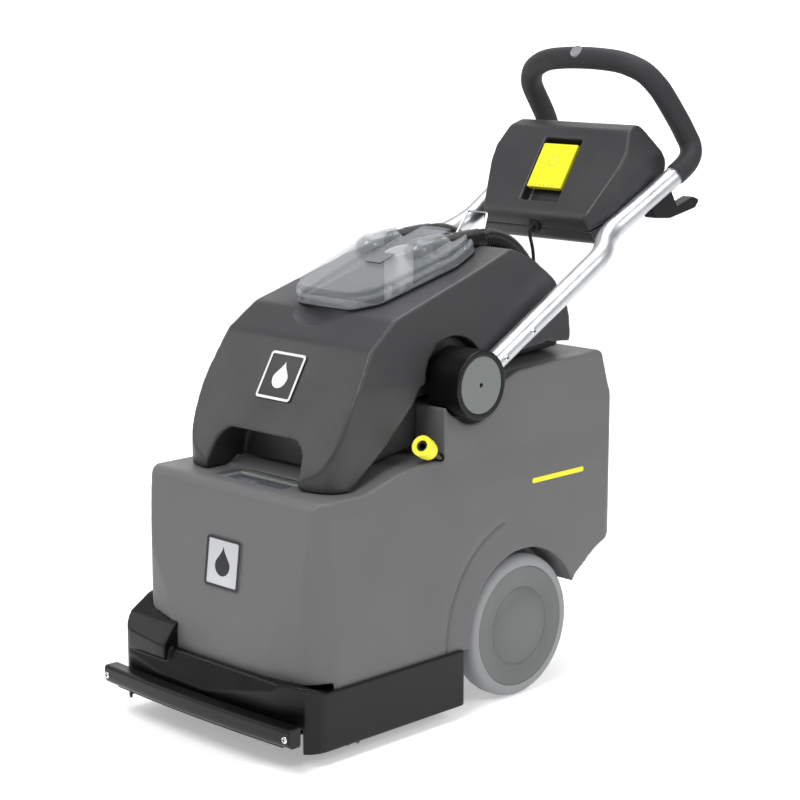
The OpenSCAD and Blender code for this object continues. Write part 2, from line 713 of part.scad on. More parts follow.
// Route of the right hose, from its cuff over the tank's rear edge into the socket.
hose_route = [[57, 73, 754], [57, 92, 755], [57, 112, 752], [57, 132, 745], [57, 150, 735],
    [57, 166, 722], [57, 180, 708], [57, 192, 692], [57, 202, 674], [57, 210, 655], [57, 216, 636],
    [57, 220, 617], [57, 222, 600], [57, 222, 560]];
module suction_hose(side) color([0.13, 0.13, 0.13]) {
    sweep([for (p = hose_route) [side * p.x, p.y, p.z]], hose_d / 2, 12, [1, 0, 0]);
}
module float_cage() color([0.9, 0.9, 0.9]) {
    difference() {
        translate([0, -60, 0]) difference() {
            translate([0, 0, 622]) cylinder(r = 24, h = 140);
            translate([0, 0, 625]) cylinder(r = 21, h = 140);
            for (a = [0:60:120]) rotate([0, 0, a]) block([-30, 30], [-6, 6], [632, 690]);
        }
        // its top meets the inside of the lid
        on_slope(27) translate([-50, 0, 0]) cube([100, 300, 200]);
    }
}
module float_ball() color([0.95, 0.95, 0.95]) translate([0, -60, 643.2]) sphere(r = 18);

// ---------- handle ----------
// Places and directions along the tube line: x across, s along the slope, n square to it.
module on_tube() { translate([0, hub_y, hub_z]) rotate([handle_angle, 0, 0]) translate([0, 0, tube_drop]) children(); }
bend_a = 30;
joggle_x = tube_x - tube_top_x;
mid_len = joggle_x / tan(bend_a / 2) - joggle_len;      // straight piece between the two bends
bend_r = (joggle_len - mid_len * cos(bend_a)) / 2 / sin(bend_a);
splay = 4.5;                    // the tubes lean apart again beside the console
splay_s = joggle_s + joggle_len + bend_r * sin(splay);
splay_x = tube_top_x + bend_r * (1 - cos(splay));
grip_s = (tube_end_s - splay_s) / cos(splay);
function arc_points(c, r, from, to, n) = [for (i = [0:n])
    [c.x + r * cos(from + (to - from) * i / n), c.y + r * sin(from + (to - from) * i / n), 0]];
// Centre line of a tube, with its two ends made longer by more.
function tube_path(more) = concat([[tube_x, 32 - more, 0]],
    arc_points([tube_x - bend_r, joggle_s], bend_r, 0, bend_a, 4),
    arc_points([tube_top_x + bend_r, joggle_s + joggle_len], bend_r, 180 + bend_a, 180 - splay, 5),
    [[splay_x + (grip_s - 1.3 + more * 3) * sin(splay), splay_s + (grip_s - 1.3 + more * 3) * cos(splay), 0]]);
// The same tube as plain solids, for the grooves that it lies in.
module tube_solid(r, s0) {
    rotate([-90, 0, 0]) translate([tube_x, 0, s0]) cylinder(r = r, h = joggle_s - s0);
    translate([tube_x - bend_r, joggle_s, 0]) rotate_extrude(angle = bend_a) translate([bend_r, 0]) circle(r);
    translate([tube_top_x + bend_r, joggle_s + joggle_len, 0]) rotate([0, 0, 180 - splay])
        rotate_extrude(angle = bend_a + splay) translate([bend_r, 0]) circle(r);
    translate([(tube_x + tube_top_x) / 2, joggle_s + joggle_len / 2, 0]) rotate([-90, 0, bend_a])
        cylinder(r = r, h = mid_len, center = true);
    translate([splay_x, splay_s, 0]) rotate([-90, 0, -splay]) cylinder(r = r, h = grip_s);
}
module tube_holes(r) {
    for (s = screw_s) translate([tube_x, s, 0]) rotate([0, 90, 0]) cylinder(r = r, h = 40);
}
module handle_tube(side) color(silver) {
    mirror([side < 0 ? 1 : 0, 0, 0]) on_tube() difference() {
        sweep(tube_path(0), tube_r, 24, [0, 0, 1]);
        sweep(tube_path(1), tube_in_r, 24, [0, 0, 1]);
        tube_holes(2.2);
    }
}
module handle_hub(side) color(black) {
    mirror([side < 0 ? 1 : 0, 0, 0]) difference() {
        union() {
            difference() {
                barrel(hub_r, hub_in, hub_out, hub_y, hub_z);
                difference() {
                    barrel(hub_r - 6, hub_in - 1, 222, hub_y, hub_z);
                    barrel(22, hub_in - 2, 223, hub_y, hub_z);
                }
            }
            // socket and spigot of the tube
            intersection() {
                on_tube() rotate([-90, 0, 0]) translate([tube_x, 0, 0]) cylinder(r = tube_r + 4, h = 80);
                barrel(hub_r - 1, hub_in, hub_out - 2, hub_y, hub_z);
            }
            on_tube() rotate([-90, 0, 0]) translate([tube_x, 0, 30]) cylinder(r = tube_in_r - gap, h = 140);
        }
        on_tube() difference() {
            rotate([-90, 0, 0]) translate([tube_x, 0, 31.9]) cylinder(r = tube_r + fit, h = 200);
            rotate([-90, 0, 0]) translate([tube_x, 0, 0]) cylinder(r = tube_in_r - gap, h = 170);
        }
        barrel(pivot_r + fit, 100, 223, hub_y, hub_z);
        barrel(46.1, hub_out - 4, hub_out + 1, hub_y, hub_z);
        on_tube() tube_holes(2.05);
    }
}
module hub_discs() color([0.4, 0.4, 0.41]) {
    on_both_sides() difference() {
        barrel(46, hub_out - 4, hub_out - 1, hub_y, hub_z);
        barrel(4, hub_out - 5, hub_out, hub_y, hub_z);
    }
}
module tube_screws() color(silver) {
    on_both_sides() on_tube() for (s = screw_s) translate([tube_x, s, 0]) rotate([0, 90, 0]) {
        translate([0, 0, 4]) cylinder(r = 2, h = tube_r - 3);
        translate([0, 0, tube_r + 0.2]) cylinder(r = 4.5, h = 1.6);
    }
}
// Right half of the grip's centre line, from the tube's end up and over to the middle.
grip_route = [[178, 446, 846], [179, 462, 855], [179, 481, 867], [174, 498, 881], [166, 506, 897],
    [160, 499, 916], [156, 482, 942], [151, 446, 986], [145, 432, 1004], [130, 420, 1023],
    [108, 412, 1035], [80, 406, 1043], [40, 402, 1047], [0, 401, 1048]];
grip_path = concat(grip_route, [for (i = [len(grip_route) - 2:-1:0])
    [-grip_route[i].x, grip_route[i].y, grip_route[i].z]]);
// Each cap: place on the front of the grip, and the turn of its face about Z.
cap_at = [[156, 482, 942, 8], [0, 401, 1048, 0], [-156, 482, 942, -8]];
module cap_cylinders(r, h0, h1) {
    for (c = cap_at) translate([c[0], c[1], c[2]]) rotate([90 + 38, 0, 0]) rotate([0, c[3], 0])
        translate([0, 0, h0]) cylinder(r = r, h = h1 - h0);
}
module grip_loop() color(black) {
    difference() {
        sweep(grip_path, grip_d / 2, 12, [0.05, 0.8, 0.62]);
        cap_cylinders(11.1, grip_d / 2 - 5, grip_d);
    }
}
module grip_caps() color([0.55, 0.55, 0.56]) cap_cylinders(11, grip_d / 2 - 5, grip_d / 2 + 1);

// ---------- console ----------
console_side = [[296, 728, 12], [272, 778, 22], [368, 926, 18], [400, 938, 16], [462, 868, 24],
    [440, 820, 10]];
function reversed(pts) = [for (i = [len(pts) - 1:-1:0]) pts[i]];
console_plan = both_halves([[0, 255, 0], [112, 262, 40], [150, 330, 30], [158, 400, 0], [150, 470, 20],
    [0, 480, 0]]);
console_front = both_halves([[146, 700, 20], [156, 800, 0], [156, 880, 20], [132, 944, 30], [0, 950, 0]]);
face_tilt = atan2(926 - 778, 368 - 272);

module console_solid(t) {
    intersection() {
        across(inset(reversed(console_side), t));
        upward(inset(console_plan, t));
        along(inset(console_front, t));
    }
}
// Frame of the console's front face: x across, y up the face, z outward.
module on_face(y, z) { translate([0, y, z]) rotate([face_tilt, 0, 0]) children(); }
module tubes_room() {
    on_both_sides() on_tube() tube_solid(tube_r + gap, 300);
}
module lower_half(t) {
    // everything under the tube line
    on_tube() translate([0, 500, -100 - t]) cube([big, big, 200], center = true);
}
module gland_hole(r) {
    translate([0, 320, 757]) rotate([90, 0, 0]) cylinder(r = r, h = 80);
    // seat of the gland's flange
    translate([0, 281.3, 757]) rotate([90, 0, 0]) cylinder(r = r + 2.3, h = 40);
}
module console_shell() color(charcoal) {
    difference() {
        console_solid(0);
        console_solid(3);
        lower_half(0);
        tubes_room();
        on_face(323, 853) block([-43, 43], [-62, 64], [-9, 20]);
        gland_hole(9);
    }
    difference() {
        // tray of the switch recess
        intersection() {
            console_solid(0.5);
            on_face(323, 853) block([-46, 46], [-65, 67], [-24, 2]);
        }
        on_face(323, 853) block([-43, 43], [-62, 64], [-20, 20]);
        on_face(323, 853) translate([0, 8, -12]) rotate([0, 90, 0])
            cylinder(r = 3 + fit, h = 100, center = true);
    }
}
module console_base() color(charcoal) {
    difference() {
        intersection() {
            console_solid(0);
            lower_half(0.3);
        }
        console_solid(3);
        tubes_room();
        gland_hole(9);
    }
}
module console_gland() color([0.05, 0.05, 0.05]) {
    translate([0, 300, 757]) rotate([90, 0, 0]) difference() {
        union() {
            cylinder(r = 9 - fit, h = 20);
            translate([0, 0, 19]) cylinder(r = 11, h = 4);
        }
        translate([0, 0, 12]) cylinder(r = 3, h = 20);
    }
}
module rocker_switch() color(yellow) {
    on_face(323, 853) {
        translate([0, 8, 0]) block([-39, 39], [-44, 44], [-8, 3]);
        translate([0, 8, -12]) rotate([0, 90, 0]) cylinder(r = 3, h = 92, center = true);
        translate([0, 8, 0]) block([-39, 39], [-5, 5], [-12, -7]);
    }
}
// Route of the console's cable, from the gland down behind the tank into the rear deck.
cable_route = [[0, 277, 757], [0, 271, 756], [0, 267, 750], [0, 268, 740], [0, 272, 728], [0, 276, 714],
    [0, 278, 700], [0, 279, 686], [0, 279, 672], [0, 278, 658], [0, 275, 644], [0, 269, 630],
    [0, 260, 617], [0, 250, 606], [0, 241, 598], [0, 236, 588], [0, 236, 581]];
module console_cable() color([0.05, 0.05, 0.05]) sweep(cable_route, 3, 8);

module cable_hook() color(black) {
    // clamp under the right tube and a tongue that turns up behind it
    on_tube() difference() {
        translate([172, 0, 0]) rotate([90, 0, 90]) linear_extrude(24, center = true)
            polygon(outline([[540, -10, 0], [540, -33, 4], [575, -56, 10], [645, -79, 4], [662, -73, 4],
                [649, -58, 4], [602, -49, 6], [600, -10, 0]]));
        tube_solid(tube_r + fit, 300);
    }
}

body_shell();
base_skirt();
chassis_plate();
solution_tank();
fill_strainer();
mains_inlet();
body_badge();
axle();
axle_clips();
vacuum_motor();
vacuum_ducts();
hose_sockets();
solution_pump();
solution_line();
spray_bar();
spray_nozzles();
brush_motor();
brush_bearings();
drive_belt();
pivot_boss(-1);  // pivot_boss_left
pivot_boss(1);  // pivot_boss_right
coupling_body();
console_cable();
tyre(-1);  // tyre_left
rim(-1);  // rim_left
wheel_cover(-1);  // wheel_cover_left
tyre(1);  // tyre_right
rim(1);  // rim_right
wheel_cover(1);  // wheel_cover_right
brush_core();
brush_bristles();
motor_pulley();
coupling_collar();
fill_lid();
vacuum_shoe();
shoe_lip();
shoe_screws();
recovery_tank();
tank_badge();
tank_bail();
dome_lid();
lid_gasket();
float_cage();
float_ball();
hose_cuffs();
suction_hose(-1);  // suction_hose_left
suction_hose(1);  // suction_hose_right
handle_tube(-1);  // handle_tube_left
handle_tube(1);  // handle_tube_right
handle_hub(-1);  // handle_hub_left
handle_hub(1);  // handle_hub_right
hub_discs();
tube_screws();
grip_loop();
grip_caps();
console_shell();
console_base();
console_gland();
cable_hook();
rocker_switch();
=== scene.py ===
"""Looks of the walk-behind carpet extractor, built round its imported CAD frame. Metres, +Z up, nose at -Y."""

import bmesh
import bpy
import json
import math
import random
from mathutils import Matrix, Vector


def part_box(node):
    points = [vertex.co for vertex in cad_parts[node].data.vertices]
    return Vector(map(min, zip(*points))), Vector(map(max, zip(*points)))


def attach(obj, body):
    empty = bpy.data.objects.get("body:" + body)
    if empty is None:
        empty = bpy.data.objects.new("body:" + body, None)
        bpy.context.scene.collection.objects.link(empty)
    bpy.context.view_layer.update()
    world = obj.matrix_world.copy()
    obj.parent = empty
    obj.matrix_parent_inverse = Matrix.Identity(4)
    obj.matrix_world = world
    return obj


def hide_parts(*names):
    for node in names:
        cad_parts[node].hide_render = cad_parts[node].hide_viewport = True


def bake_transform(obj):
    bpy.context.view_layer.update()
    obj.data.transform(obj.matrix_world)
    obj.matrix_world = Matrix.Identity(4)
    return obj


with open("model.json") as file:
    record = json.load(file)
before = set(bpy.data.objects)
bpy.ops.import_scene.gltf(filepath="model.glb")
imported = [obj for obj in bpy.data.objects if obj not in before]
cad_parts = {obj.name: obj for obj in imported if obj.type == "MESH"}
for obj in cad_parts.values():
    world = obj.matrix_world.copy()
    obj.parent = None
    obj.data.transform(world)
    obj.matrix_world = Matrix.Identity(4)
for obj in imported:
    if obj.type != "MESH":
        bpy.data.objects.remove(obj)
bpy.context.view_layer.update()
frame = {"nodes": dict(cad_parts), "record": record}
MM = 0.001
random.seed(7)


# ---------- camera, light and floor ----------
def direction(azimuth, elevation):
    """Unit vector from the object towards a viewer; azimuth 0 looks along +Y."""
    a, e = math.radians(azimuth), math.radians(elevation)
    return Vector((math.sin(a) * math.cos(e), -math.cos(a) * math.cos(e), math.sin(e)))


def aim(obj, place, target):
    obj.location = place
    obj.rotation_euler = (Vector(target) - Vector(place)).to_track_quat("-Z", "Y").to_euler()


CAMERA_TARGET = Vector((0, -0.0575, 0.4903))
CAMERA_DISTANCE = 3.5218


def make_camera():
    camera = bpy.data.objects.new("camera", bpy.data.cameras.new("camera"))
    bpy.context.collection.objects.link(camera)
    camera.data.lens = 94.34
    camera.data.sensor_width = 36
    aim(camera, CAMERA_TARGET + CAMERA_DISTANCE * direction(44.83, 11.04), CAMERA_TARGET)
    bpy.context.scene.camera = camera


def area_light(name, azimuth, elevation, distance, size, power):
    lamp = bpy.data.objects.new(name, bpy.data.lights.new(name, "AREA"))
    bpy.context.collection.objects.link(lamp)
    lamp.data.size = size
    lamp.data.energy = power
    aim(lamp, CAMERA_TARGET + distance * direction(azimuth, elevation), CAMERA_TARGET)


def make_lights():
    world = bpy.data.worlds.new("studio")
    world.use_nodes = True
    world.node_tree.nodes["Background"].inputs["Color"].default_value = (0.98, 0.99, 1, 1)
    world.node_tree.nodes["Background"].inputs["Strength"].default_value = 0.42
    bpy.context.scene.world = world
    area_light("key", 14, 50, 3.2, 1.5, 70)
    area_light("side", 104, 30, 3.2, 1.3, 34)
    area_light("fill", -50, 24, 3.4, 1.6, 16)
    area_light("top", 190, 72, 3.0, 2.2, 60)
    bpy.context.scene.view_settings.view_transform = "Standard"


def white(name, glow):
    """Matt white with a glow of its own, for the studio's surfaces."""
    surface = bpy.data.materials.new(name)
    surface.use_nodes = True
    shader = surface.node_tree.nodes["Principled BSDF"]
    shader.inputs["Base Color"].default_value = (0.86, 0.86, 0.865, 1)
    shader.inputs["Roughness"].default_value = 0.75
    shader.inputs["Emission Color"].default_value = (1, 1, 1, 1)
    shader.inputs["Emission Strength"].default_value = glow
    return surface


def make_floor():
    """Pale floor and a far white backdrop behind the object."""
    behind = -direction(44.83, 0)
    across = Vector((-behind.y, behind.x, 0))
    foot = behind * 8
    for name, glow, corners in (
        ("floor", 0.34, [(-12, -12, 0), (12, -12, 0), (12, 12, 0), (-12, 12, 0)]),
        ("backdrop", 0.8, [foot - across * 9, foot + across * 9, foot + across * 9 + Vector((0, 0, 7)),
                           foot - across * 9 + Vector((0, 0, 7))]),
    ):
        sheet = bpy.data.objects.new(name, bpy.data.meshes.new(name))
        sheet.data.from_pydata([tuple(c) for c in corners], [], [(0, 1, 2, 3)])
        bpy.context.collection.objects.link(sheet)
        sheet.data.materials.append(white(name, glow))


make_camera()
make_lights()
make_floor()


# ---------- meshes ----------
def add(name, mesh, body, slot, smooth=True):
    """Links a finished mesh as a piece that rides on a body, in the finish of its slot."""
    obj = bpy.data.objects.new(name, mesh)
    bpy.context.collection.objects.link(obj)
    if smooth:
        mesh.polygons.foreach_set("use_smooth", [True] * len(mesh.polygons))
    mesh.materials.clear()
    mesh.materials.append(LOOKS[slot])
    if body:
        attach(obj, body)
    return obj


def mesh_of(name, points, faces):
    mesh = bpy.data.meshes.new(name)
    mesh.from_pydata([tuple(p) for p in points], [], faces)
    mesh.validate()
    mesh.update()
    return mesh


def evaluated(obj):
    """The mesh of obj with its modifiers applied."""
    return bpy.data.meshes.new_from_object(obj.evaluated_get(bpy.context.evaluated_depsgraph_get()))


def modified(mesh, *steps):
    """mesh after a list of (modifier type, settings)."""
    obj = bpy.data.objects.new("work", mesh)
    bpy.context.collection.objects.link(obj)
    for kind, settings in steps:
        modifier = obj.modifiers.new(kind.lower(), kind)
        for key, value in settings.items():
            setattr(modifier, key, value)
    result = evaluated(obj)
    bpy.data.objects.remove(obj)
    return result


def joined_nodes(*nodes):
    """One mesh from the closed solids of some CAD nodes."""
    work = bmesh.new()
    for node in nodes:
        work.from_mesh(frame["nodes"][node].data)
    bmesh.ops.remove_doubles(work, verts=work.verts, dist=2e-6)
    mesh = bpy.data.meshes.new("joined")
    work.to_mesh(mesh)
    work.free()
    return mesh


def moulding(name, nodes, body, slot, voxel, rounds, keep, carve=None):
    """Moulded skin over CAD nodes, with soft edges; voxel in millimetres, keep is the share of faces."""
    mesh = modified(
        joined_nodes(*nodes),
        ("REMESH", {"mode": "VOXEL", "voxel_size": voxel * MM}),
        ("SMOOTH", {"factor": 0.5, "iterations": rounds}),
    )
    if carve:
        carve(mesh)
    mesh = modified(mesh, ("DECIMATE", {"ratio": keep}))
    piece = add(name, mesh, body, slot)
    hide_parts(*nodes)
    return piece


def spline(points, steps):
    """Smooth curve through the points, as part.scad draws it."""
    points = [Vector(p) for p in points]
    last = len(points) - 1
    path = []
    for i in range(last):
        p0, p1, p2, p3 = (points[min(max(j, 0), last)] for j in (i - 1, i, i + 1, i + 2))
        for k in range(steps):
            t = k / steps
            path.append(
                0.5
                * (
                    2 * p1
                    + (p2 - p0) * t
                    + (2 * p0 - 5 * p1 + 4 * p2 - p3) * t * t
                    + (3 * p1 - p0 - 3 * p2 + p3) * t**3
                )
            )
    return path + [points[-1]]


def length_of(path):
    return sum((b - a).length for a, b in zip(path, path[1:]))


def even(path, gap):
    """Points along a path, gap apart."""
    total = length_of(path)
    count = max(2, round(total / gap))
    result, walked, i = [path[0].copy()], 0.0, 0
    for k in range(1, count):
        want = total * k / count
        while walked + (path[i + 1] - path[i]).length < want:
            walked += (path[i + 1] - path[i]).length
            i += 1
        part = (want - walked) / (path[i + 1] - path[i]).length
        result.append(path[i].lerp(path[i + 1], part))
    return result + [path[-1].copy()]


def tube_mesh(name, path, radius, sides):
    """Tube round a path; radius is a number or a function of the distance walked."""
    size = radius if callable(radius) else lambda walked: radius
    points, walked, side = [], 0.0, None
    for i, p in enumerate(path):
        ahead = (path[min(i + 1, len(path) - 1)] - path[max(i - 1, 0)]).normalized()
        if side is None:
            side = ahead.cross(Vector((0, 0, 1)) if abs(ahead.z) < 0.9 else Vector((1, 0, 0)))
        side = (side - ahead * side.dot(ahead)).normalized()
        up = ahead.cross(side)
        if i:
            walked += (p - path[i - 1]).length
        for k in range(sides):
            a = 2 * math.pi * k / sides
            points.append(p + size(walked) * (side * math.cos(a) + up * math.sin(a)))
    faces = [
        (i * sides + k, i * sides + (k + 1) % sides, (i + 1) * sides + (k + 1) % sides, (i + 1) * sides + k)
        for i in range(len(path) - 1)
        for k in range(sides)
    ]
    faces.append(tuple(reversed(range(sides))))
    faces.append(tuple(range((len(path) - 1) * sides, len(path) * sides)))
    return mesh_of(name, points, faces)


def lathe_mesh(name, profile, place, axis=(1, 0, 0), segments=96):
    """Closed profile of (radius, along) turned about an axis through place."""
    turn = Vector((0, 0, 1)).rotation_difference(Vector(axis)).to_matrix()
    points, count = [], len(profile)
    for k in range(segments):
        a = 2 * math.pi * k / segments
        points += [
            Vector(place) + turn @ Vector((r * math.cos(a), r * math.sin(a), h)) for r, h in profile
        ]
    faces = [
        (k * count + i, ((k + 1) % segments) * count + i,
         ((k + 1) % segments) * count + (i + 1) % count, k * count + (i + 1) % count)
        for k in range(segments)
        for i in range(count)
    ]
    mesh = mesh_of(name, points, faces)
    work = bmesh.new()
    work.from_mesh(mesh)
    bmesh.ops.remove_doubles(work, verts=work.verts, dist=1e-6)
    bmesh.ops.recalc_face_normals(work, faces=work.faces)
    work.to_mesh(mesh)
    work.free()
    return mesh


def rounded(profile, radius, steps=4):
    """A closed (r, h) profile with every corner rounded by at most radius."""
    count, result = len(profile), []
    for i in range(count):
        a, p, b = (Vector(profile[j % count]) for j in (i - 1, i, i + 1))
        cut = min(radius, (a - p).length * 0.45, (b - p).length * 0.45)
        start, end = p + (a - p).normalized() * cut, p + (b - p).normalized() * cut
        for k in range(steps + 1):
            t = k / steps
            result.append(tuple(start * (1 - t) ** 2 + p * 2 * t * (1 - t) + end * t * t))
    return result


def plate_mesh(name, outline, thickness, bevel=0.0):
    """Flat plate from a closed outline in x and y, standing on z = 0."""
    work = bmesh.new()
    face = work.faces.new([work.verts.new((x, y, 0)) for x, y in outline])
    grown = bmesh.ops.extrude_face_region(work, geom=[face])
    moved = [v for v in grown["geom"] if isinstance(v, bmesh.types.BMVert)]
    bmesh.ops.translate(work, verts=moved, vec=(0, 0, thickness))
    bmesh.ops.recalc_face_normals(work, faces=work.faces)
    if bevel:
        rim = [e for e in work.edges if all(v.co.z > thickness * 0.5 for v in e.verts)]
        bmesh.ops.bevel(work, geom=rim, offset=bevel, segments=2, affect="EDGES")
    mesh = bpy.data.meshes.new(name)
    work.to_mesh(mesh)
    work.free()
    return mesh


def rounded_square(width, height, radius, steps=6):
    """Outline of a rectangle with round corners, centred on the origin."""
    outline = []
    for quarter, (sx, sy) in enumerate(((1, 1), (-1, 1), (-1, -1), (1, -1))):
        for k in range(steps + 1):
            a = math.pi / 2 * (quarter + k / steps)
            x = sx * (width / 2 - radius) + radius * math.cos(a)
            y = sy * (height / 2 - radius) + radius * math.sin(a)
            outline.append((x, y))
    return outline


# ---------- materials ----------
def linear(*srgb):
    """Linear colour from 0..255 display values."""
    return tuple(
        (v / 255 / 12.92 if v <= 10 else ((v / 255 + 0.055) / 1.055) ** 2.4) for v in srgb
    ) + (1.0,)


class Look:
    """A Principled material with small helpers for procedural detail."""

    def __init__(self, name, roughness, **sockets):
        self.material = bpy.data.materials.new(name)
        self.material.use_nodes = True
        self.tree = self.material.node_tree
        self.shader = self.tree.nodes["Principled BSDF"]
        self.shader.inputs["Roughness"].default_value = roughness
        for key, value in sockets.items():
            self.shader.inputs[key.replace("_", " ")].default_value = value
        self.place = self.tree.nodes.new("ShaderNodeTexCoord").outputs["Object"]

    def noise(self, scale, detail=3.0, stretch=(1, 1, 1)):
        """Noise in metres: scale is features per metre."""
        mapping = self.tree.nodes.new("ShaderNodeMapping")
        mapping.inputs["Scale"].default_value = stretch
        self.tree.links.new(self.place, mapping.inputs["Vector"])
        node = self.tree.nodes.new("ShaderNodeTexNoise")
        node.inputs["Scale"].default_value = scale
        node.inputs["Detail"].default_value = detail
        self.tree.links.new(mapping.outputs["Vector"], node.inputs["Vector"])
        return node.outputs["Fac"]

    def cells(self, scale):
        """Rounded pebbles: scale is cells per metre."""
        node = self.tree.nodes.new("ShaderNodeTexVoronoi")
        node.feature = "SMOOTH_F1"
        node.inputs["Scale"].default_value = scale
        self.tree.links.new(self.place, node.inputs["Vector"])
        return node.outputs["Distance"]

    def spread(self, value, low, high, start=0.3, end=0.7):
        node = self.tree.nodes.new("ShaderNodeMapRange")
        for key, number in (("From Min", start), ("From Max", end), ("To Min", low), ("To Max", high)):
            node.inputs[key].default_value = number
        self.tree.links.new(value, node.inputs["Value"])
        return node.outputs["Result"]

    def blend(self, value, first, second):
        node = self.tree.nodes.new("ShaderNodeMix")
        node.data_type = "RGBA"
        for socket, colour in ((6, first), (7, second)):
            if isinstance(colour, tuple):
                node.inputs[socket].default_value = colour
            else:
                self.tree.links.new(colour, node.inputs[socket])
        self.tree.links.new(value, node.inputs[0])
        return node.outputs[2]

    def tint(self, colour, amount, scale=5.0):
        """Slightly lighter and darker patches of a colour."""
        low = tuple(c * (1 - amount) for c in colour[:3]) + (1,)
        high = tuple(min(1, c * (1 + amount)) for c in colour[:3]) + (1,)
        return self.blend(self.noise(scale), low, high)

    def worn(self, colour, rub, strength=0.5):
        """Edges rubbed lighter, found by how far the surface turns."""
        turn = self.tree.nodes.new("ShaderNodeNewGeometry").outputs["Pointiness"]
        edge = self.spread(turn, 0, strength, 0.52, 0.6)
        return self.blend(edge, colour, rub)

    def colour(self, value):
        self.tree.links.new(value, self.shader.inputs["Base Color"])

    def rough(self, value, low, high):
        self.tree.links.new(self.spread(value, low, high), self.shader.inputs["Roughness"])

    def bump(self, *layers):
        """Layers of (height, strength, depth in millimetres)."""
        normal = None
        for height, strength, depth in layers:
            node = self.tree.nodes.new("ShaderNodeBump")
            node.inputs["Strength"].default_value = strength
            node.inputs["Distance"].default_value = depth * MM
            self.tree.links.new(height, node.inputs["Height"])
            if normal is not None:
                self.tree.links.new(normal, node.inputs["Normal"])
            normal = node.outputs["Normal"]
        self.tree.links.new(normal, self.shader.inputs["Normal"])


def moulded(name, colour, roughness, grain=700, depth=0.12, pebble=0, shade=0.08, gloss=0.4, rub=1.35):
    """Moulded plastic or rubber: fine grain, faint clouding, edges rubbed a little lighter."""
    look = Look(name, roughness, Specular_IOR_Level=gloss)
    rubbed = tuple(min(1, c * rub + 0.01) for c in colour[:3]) + (1,)
    look.colour(look.worn(look.tint(colour, shade), rubbed))
    fine = look.noise(grain, 4)
    look.rough(look.noise(9, 5), roughness - 0.07, roughness + 0.07)
    layers = [(fine, 0.5, depth)]
    if pebble:
        layers.append((look.cells(pebble), 0.6, depth * 2))
    look.bump(*layers)
    return look.material


def metal(name, colour, roughness, stretch=(1, 1, 1), grain=900, depth=0.02):
    """Bare metal with drawn lines along one axis and faint smudges."""
    look = Look(name, roughness, Metallic=1.0)
    look.colour(look.worn(look.tint(colour, 0.06, 8), tuple(min(1, c * 1.15) for c in colour[:3]) + (1,)))
    look.rough(look.noise(30, 5), roughness - 0.06, roughness + 0.1)
    look.bump((look.noise(grain, 3, stretch), 0.5, depth))
    return look.material


def clear_plastic(name):
    """Clear moulding with a smoky tint and faint waves."""
    look = Look(name, 0.09, Alpha=0.25, IOR=1.49, Coat_Weight=0.8, Coat_Roughness=0.04)
    look.colour(look.tint(linear(150, 156, 160), 0.08, 10))
    look.rough(look.noise(14, 4), 0.05, 0.16)
    look.bump((look.noise(60, 2), 0.25, 0.6))
    return look.material


LOOKS = {
    "body_grey": moulded(
        "body_grey", linear(93, 93, 94), 0.48, grain=1100, depth=0.16, pebble=520, shade=0.05, gloss=0.38
    ),
    "charcoal": moulded(
        "charcoal", linear(42, 42, 44), 0.42, grain=800, depth=0.22, pebble=380, gloss=0.55
    ),
    "black_plastic": moulded(
        "black_plastic", linear(8, 8, 9), 0.34, grain=1100, depth=0.07, gloss=0.26, rub=3.0
    ),
    "steel_painted": moulded("steel_painted", linear(52, 53, 56), 0.45, grain=500, depth=0.06),
    "natural_plastic": moulded(
        "natural_plastic", linear(208, 208, 200), 0.4, grain=300, depth=0.06, rub=1.05
    ),
    "white_plastic": moulded("white_plastic", linear(226, 226, 222), 0.38, grain=500, depth=0.05, rub=1.05),
    "yellow": moulded("yellow", linear(228, 222, 34), 0.4, grain=1200, depth=0.06, shade=0.04, rub=1.05),
    "tyre_grey": moulded(
        "tyre_grey", linear(138, 139, 141), 0.72, grain=1500, depth=0.15, shade=0.05, gloss=0.25
    ),
    "wheel_grey": moulded(
        "wheel_grey", linear(97, 102, 99), 0.5, grain=900, depth=0.1, pebble=500, shade=0.05
    ),
    "rubber_black": moulded("rubber_black", linear(18, 18, 19), 0.6, grain=1300, depth=0.1, gloss=0.3),
    "grip_rubber": moulded("grip_rubber", linear(40, 40, 42), 0.64, grain=1600, depth=0.2, gloss=0.3),
    "cap_grey": moulded("cap_grey", linear(122, 123, 125), 0.5, grain=1000, depth=0.08),
    "bristle": moulded("bristle", linear(40, 40, 44), 0.5, grain=1500, depth=0.05),
    "hose_black": moulded("hose_black", linear(9, 9, 10), 0.32, grain=900, depth=0.06, gloss=0.3, rub=3.0),
    "motor_grey": moulded("motor_grey", linear(96, 98, 100), 0.45, grain=600, depth=0.08),
    "line_clear": moulded("line_clear", linear(186, 190, 190), 0.25, grain=200, depth=0.03, rub=1.05),
    "badge_black": moulded("badge_black", linear(15, 15, 16), 0.3, grain=600, depth=0.02),
    "badge_silver": metal("badge_silver", linear(198, 199, 201), 0.34, (1, 1, 14)),
    "tube_alloy": metal("tube_alloy", linear(200, 202, 204), 0.36, (1, 1, 1), 1400, 0.008),
    "steel": metal("steel", linear(190, 190, 192), 0.28, (1, 14, 14)),
    "chrome": metal("chrome", linear(214, 214, 216), 0.16, (1, 1, 1), 200, 0.01),
    "clear": clear_plastic("clear"),
}


def finish_nodes():
    """Every CAD node that stays gets the finish of its slot in the record."""
    for part in frame["record"]["subparts"]:
        mesh = frame["nodes"][part["node"]].data
        mesh.materials.clear()
        mesh.materials.append(LOOKS[part["material_slot"]])


finish_nodes()


